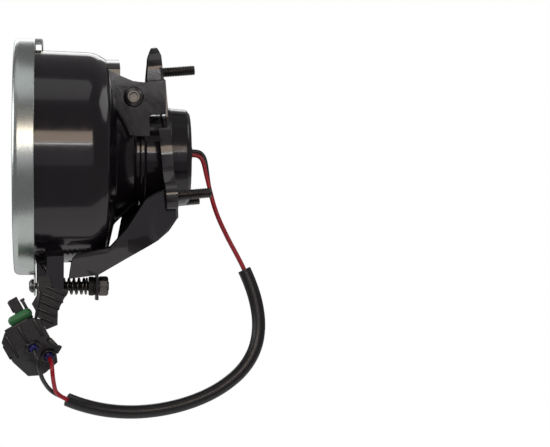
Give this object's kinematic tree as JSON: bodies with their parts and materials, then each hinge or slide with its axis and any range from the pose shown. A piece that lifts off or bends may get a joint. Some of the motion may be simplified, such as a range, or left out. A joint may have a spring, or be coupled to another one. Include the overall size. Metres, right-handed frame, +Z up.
{
  "type": "fog light",
  "caption": "Round fog light with a fluted glass lens in a chrome bezel, held by a steel bracket with studs, a spring-loaded aiming screw and a short wired connector.",
  "frame": {"origin": "centre of the three studs' circle on the rear face of the bracket's plate", "axes": "+Y points rearward along the studs, away from the lens, +Z up and +X to the right seen from the front"},
  "size_m": [0.14, 0.1556, 0.2298],
  "materials": {
    "satin_chrome": "satin",
    "lens_glass": "gloss",
    "gloss_black_paint": "gloss",
    "bracket_paint": "satin",
    "plated_steel": "satin",
    "bright_reflector": "gloss",
    "black_rubber": "matte",
    "cap_plastic": "gloss",
    "bulb_glass": "gloss",
    "red_insulation": "satin",
    "black_insulation": "satin",
    "sleeve_plastic": "satin",
    "connector_plastic": "satin",
    "green_rubber": "satin",
    "blue_rubber": "satin",
    "brass": "satin"
  },
  "bodies": {
    "bracket": {"mounting_bracket": "bracket_paint", "mounting_studs": "plated_steel", "pivot_screws": "plated_steel", "pivot_nuts": "plated_steel", "adjuster_collar": "black_rubber", "adjuster_nut": "plated_steel", "adjuster_spring": "plated_steel"},
    "lamp": {"adjuster_lug": "bracket_paint", "bezel_ring": "satin_chrome", "bezel_screw": "plated_steel", "bezel_screw_nut": "plated_steel", "black_wire": "black_insulation", "black_wire_seal": "blue_rubber", "bulb_base": "plated_steel", "bulb_clip": "plated_steel", "bulb_glass": "bulb_glass", "bulb_leads": "black_insulation", "bulb_shield": "plated_steel", "bulb_shield_legs": "plated_steel", "bulb_terminals": "brass", "cap_seal": "black_rubber", "connector_body": "connector_plastic", "connector_clip": "connector_plastic", "connector_lock": "connector_plastic", "connector_mating_end": "connector_plastic", "connector_seal": "green_rubber", "connector_terminals": "brass", "housing_shell": "gloss_black_paint", "lens": "lens_glass", "lens_gasket": "black_rubber", "neck_tube": "gloss_black_paint", "pivot_bushes": "black_rubber", "pivot_yoke": "bracket_paint", "rear_cap": "cap_plastic", "red_wire": "red_insulation", "red_wire_seal": "blue_rubber", "reflector": "bright_reflector", "wire_grommet": "black_rubber", "wire_sleeve": "sleeve_plastic"},
    "screw_carrier": {"adjuster_washer": "plated_steel"},
    "screw": {"adjuster_screw": "plated_steel"}
  },
  "joints": [
    {"name": "aim_tilt", "type": "hinge", "parent": "bracket", "child": "lamp", "pos_m": [0, -0.01943, 0.03423], "axis": [1, 0, 0], "range_deg": [0, 4.75], "deforming": ["adjuster_spring"]},
    {"name": "screw_travel", "type": "slide", "parent": "bracket", "child": "screw_carrier", "axis": [0, 0.9966, -0.0828], "range_m": [0, 0.0088]},
    {"name": "screw_turn", "type": "hinge", "parent": "screw_carrier", "child": "screw", "pos_m": [0.01, -0.04954, -0.07335], "axis": [0, 0.9966, -0.0828], "range_deg": [0, 3180]}
  ],
  "couplings": [
    {"joint": "screw_travel", "follows": "aim_tilt", "m_per_rad": 0.106},
    {"joint": "screw_turn", "follows": "aim_tilt", "ratio": 666.02}
  ]
}
